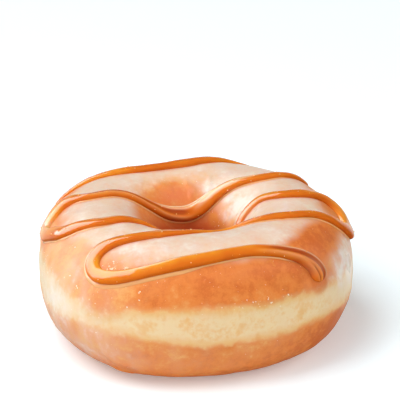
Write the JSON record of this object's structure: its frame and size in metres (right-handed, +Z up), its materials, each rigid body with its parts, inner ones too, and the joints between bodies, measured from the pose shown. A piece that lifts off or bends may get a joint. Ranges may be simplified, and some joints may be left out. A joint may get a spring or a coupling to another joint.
{
  "type": "maple glazed doughnut",
  "caption": "Raised ring doughnut with a thin milky glaze and a thick caramel drizzle looped to and fro over the top and into the hole.",
  "frame": {"origin": "on the surface that it rests on, under the middle of its outline, which is also within 1 mm of the middle of the hole", "axes": "+Z up through the hole, -Y the side that the picture shows, where the drizzle ends in a drip at its right, +X to the right of that view"},
  "size_m": [0.0901, 0.0896, 0.0402],
  "materials": {
    "dough": "golden fried crust with a pale proof line round the side, under a thin milky glaze",
    "caramel": "glossy, slightly translucent caramel"
  },
  "bodies": {
    "root": {"doughnut": "dough"}
  },
  "joints": []
}
